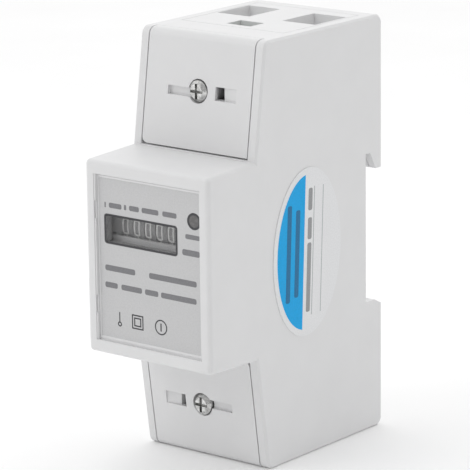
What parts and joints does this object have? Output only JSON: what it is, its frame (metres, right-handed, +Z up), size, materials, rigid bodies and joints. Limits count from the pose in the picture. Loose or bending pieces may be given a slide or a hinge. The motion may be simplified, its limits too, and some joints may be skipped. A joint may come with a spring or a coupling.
{
  "type": "din rail energy meter",
  "caption": "Narrow white rail-mounted electricity meter with a raised front, number counter, pulse lamp and screwed terminal covers above and below.",
  "frame": {"origin": "middle of the flat bottom's bounding rectangle", "axes": "+Z up along the height, -Y out of the front face, +X to the right seen from the front"},
  "size_m": [0.0362, 0.065, 0.1],
  "materials": {
    "casing_plastic": "fine spark-eroded texture",
    "cover_plastic": "fine spark-eroded texture",
    "clip_plastic": "smooth moulded",
    "label_print": "printed light grey",
    "sticker_print": "printed oval sticker",
    "clear_window": "clear moulding with a dark printed border",
    "clear_pipe": "clear moulding",
    "screw_steel": "zinc plated",
    "axle_steel": "drawn wire",
    "clamp_brass": "nickel-free brass",
    "bar_copper": "copper strip",
    "shunt_alloy": "resistance alloy",
    "board_green": "solder resist on glass-fibre laminate",
    "capacitor_grey": "moulded case",
    "capacitor_can": "drawn can",
    "varistor_blue": "dipped coating",
    "chip_black": "moulded package",
    "lamp_red": "tinted lamp",
    "terminal_green": "moulded",
    "counter_frame_plastic": "moulded",
    "drum_plastic": "printed with white digits",
    "pinion_plastic": "moulded",
    "motor_can": "pressed can"
  },
  "bodies": {
    "casing": {"housing": "casing_plastic", "rear_base": "casing_plastic", "terminal_block_top": "casing_plastic", "terminal_block_bottom": "casing_plastic", "terminal_cover_top": "cover_plastic", "terminal_cover_bottom": "cover_plastic", "label_plate": "label_print", "side_sticker": "sticker_print", "window_lens": "clear_window", "light_pipe": "clear_pipe", "cover_screws": "screw_steel", "terminal_screws": "screw_steel", "counter_screws": "screw_steel", "pulse_terminal_screws": "screw_steel", "drum_axle": "axle_steel", "pinion_axle": "axle_steel", "terminal_cage_top_left": "clamp_brass", "terminal_cage_top_right": "clamp_brass", "terminal_cage_bottom_left": "clamp_brass", "terminal_cage_bottom_right": "clamp_brass", "neutral_bar": "bar_copper", "line_bar_top": "bar_copper", "line_bar_bottom": "bar_copper", "sense_pins": "bar_copper", "shunt": "shunt_alloy", "main_board": "board_green", "film_capacitor": "capacitor_grey", "electrolytic_capacitor": "capacitor_can", "crystal": "capacitor_can", "varistor": "varistor_blue", "optocoupler": "chip_black", "bridge_rectifier": "chip_black", "metering_chip": "chip_black", "pulse_lamp": "lamp_red", "pulse_terminal": "terminal_green", "counter_frame": "counter_frame_plastic", "stepper_motor": "motor_can"},
    "rail_clip": {"din_clip": "clip_plastic"},
    "drum_6": {"number_drum_6": "drum_plastic"},
    "drum_5": {"number_drum_5": "drum_plastic"},
    "drum_4": {"number_drum_4": "drum_plastic"},
    "drum_3": {"number_drum_3": "drum_plastic"},
    "drum_2": {"number_drum_2": "drum_plastic"},
    "drum_1": {"number_drum_1": "drum_plastic"},
    "pinion_5": {"carry_pinion_5": "pinion_plastic"},
    "pinion_4": {"carry_pinion_4": "pinion_plastic"},
    "pinion_3": {"carry_pinion_3": "pinion_plastic"},
    "pinion_2": {"carry_pinion_2": "pinion_plastic"},
    "pinion_1": {"carry_pinion_1": "pinion_plastic"},
    "rotor": {"motor_pinion": "pinion_plastic"}
  },
  "joints": [
    {"name": "clip_slide", "type": "slide", "parent": "casing", "child": "rail_clip", "axis": [0, 0, -1], "range_m": [0, 0.003], "stiffness_N_per_m": 400, "springref_m": -0.001},
    {"name": "drum_6_turn", "type": "hinge", "parent": "casing", "child": "drum_6", "pos_m": [0.00573, -0.02025, 0.0568], "axis": [1, 0, 0], "continuous": true},
    {"name": "drum_5_turn", "type": "hinge", "parent": "casing", "child": "drum_5", "pos_m": [0.00237, -0.02025, 0.0568], "axis": [1, 0, 0], "continuous": true},
    {"name": "drum_4_turn", "type": "hinge", "parent": "casing", "child": "drum_4", "pos_m": [-0.00097, -0.02025, 0.0568], "axis": [1, 0, 0], "continuous": true},
    {"name": "drum_3_turn", "type": "hinge", "parent": "casing", "child": "drum_3", "pos_m": [-0.00432, -0.02025, 0.0568], "axis": [1, 0, 0], "continuous": true},
    {"name": "drum_2_turn", "type": "hinge", "parent": "casing", "child": "drum_2", "pos_m": [-0.00768, -0.02025, 0.0568], "axis": [1, 0, 0], "continuous": true},
    {"name": "drum_1_turn", "type": "hinge", "parent": "casing", "child": "drum_1", "pos_m": [-0.01103, -0.02025, 0.0568], "axis": [1, 0, 0], "continuous": true},
    {"name": "pinion_5_turn", "type": "hinge", "parent": "casing", "child": "pinion_5", "pos_m": [0.00405, -0.015, 0.06205], "axis": [1, 0, 0], "continuous": true},
    {"name": "pinion_4_turn", "type": "hinge", "parent": "casing", "child": "pinion_4", "pos_m": [0.0007, -0.015, 0.06205], "axis": [1, 0, 0], "continuous": true},
    {"name": "pinion_3_turn", "type": "hinge", "parent": "casing", "child": "pinion_3", "pos_m": [-0.00265, -0.015, 0.06205], "axis": [1, 0, 0], "continuous": true},
    {"name": "pinion_2_turn", "type": "hinge", "parent": "casing", "child": "pinion_2", "pos_m": [-0.006, -0.015, 0.06205], "axis": [1, 0, 0], "continuous": true},
    {"name": "pinion_1_turn", "type": "hinge", "parent": "casing", "child": "pinion_1", "pos_m": [-0.00935, -0.015, 0.06205], "axis": [1, 0, 0], "continuous": true},
    {"name": "rotor_turn", "type": "hinge", "parent": "casing", "child": "rotor", "pos_m": [0.00673, -0.01688, 0.05019], "axis": [1, 0, 0], "continuous": true}
  ],
  "couplings": [
    {"joint": "drum_5_turn", "follows": "drum_6_turn", "ratio": 0.1},
    {"joint": "drum_4_turn", "follows": "drum_6_turn", "ratio": 0.01},
    {"joint": "drum_3_turn", "follows": "drum_6_turn", "ratio": 0.001},
    {"joint": "drum_2_turn", "follows": "drum_6_turn", "ratio": 0.0001},
    {"joint": "drum_1_turn", "follows": "drum_6_turn", "ratio": 0.00001},
    {"joint": "pinion_5_turn", "follows": "drum_6_turn", "ratio": -0.25},
    {"joint": "pinion_4_turn", "follows": "drum_6_turn", "ratio": -0.025},
    {"joint": "pinion_3_turn", "follows": "drum_6_turn", "ratio": -0.0025},
    {"joint": "pinion_2_turn", "follows": "drum_6_turn", "ratio": -0.00025},
    {"joint": "pinion_1_turn", "follows": "drum_6_turn", "ratio": -0.000025},
    {"joint": "rotor_turn", "follows": "drum_6_turn", "ratio": -2.5}
  ]
}
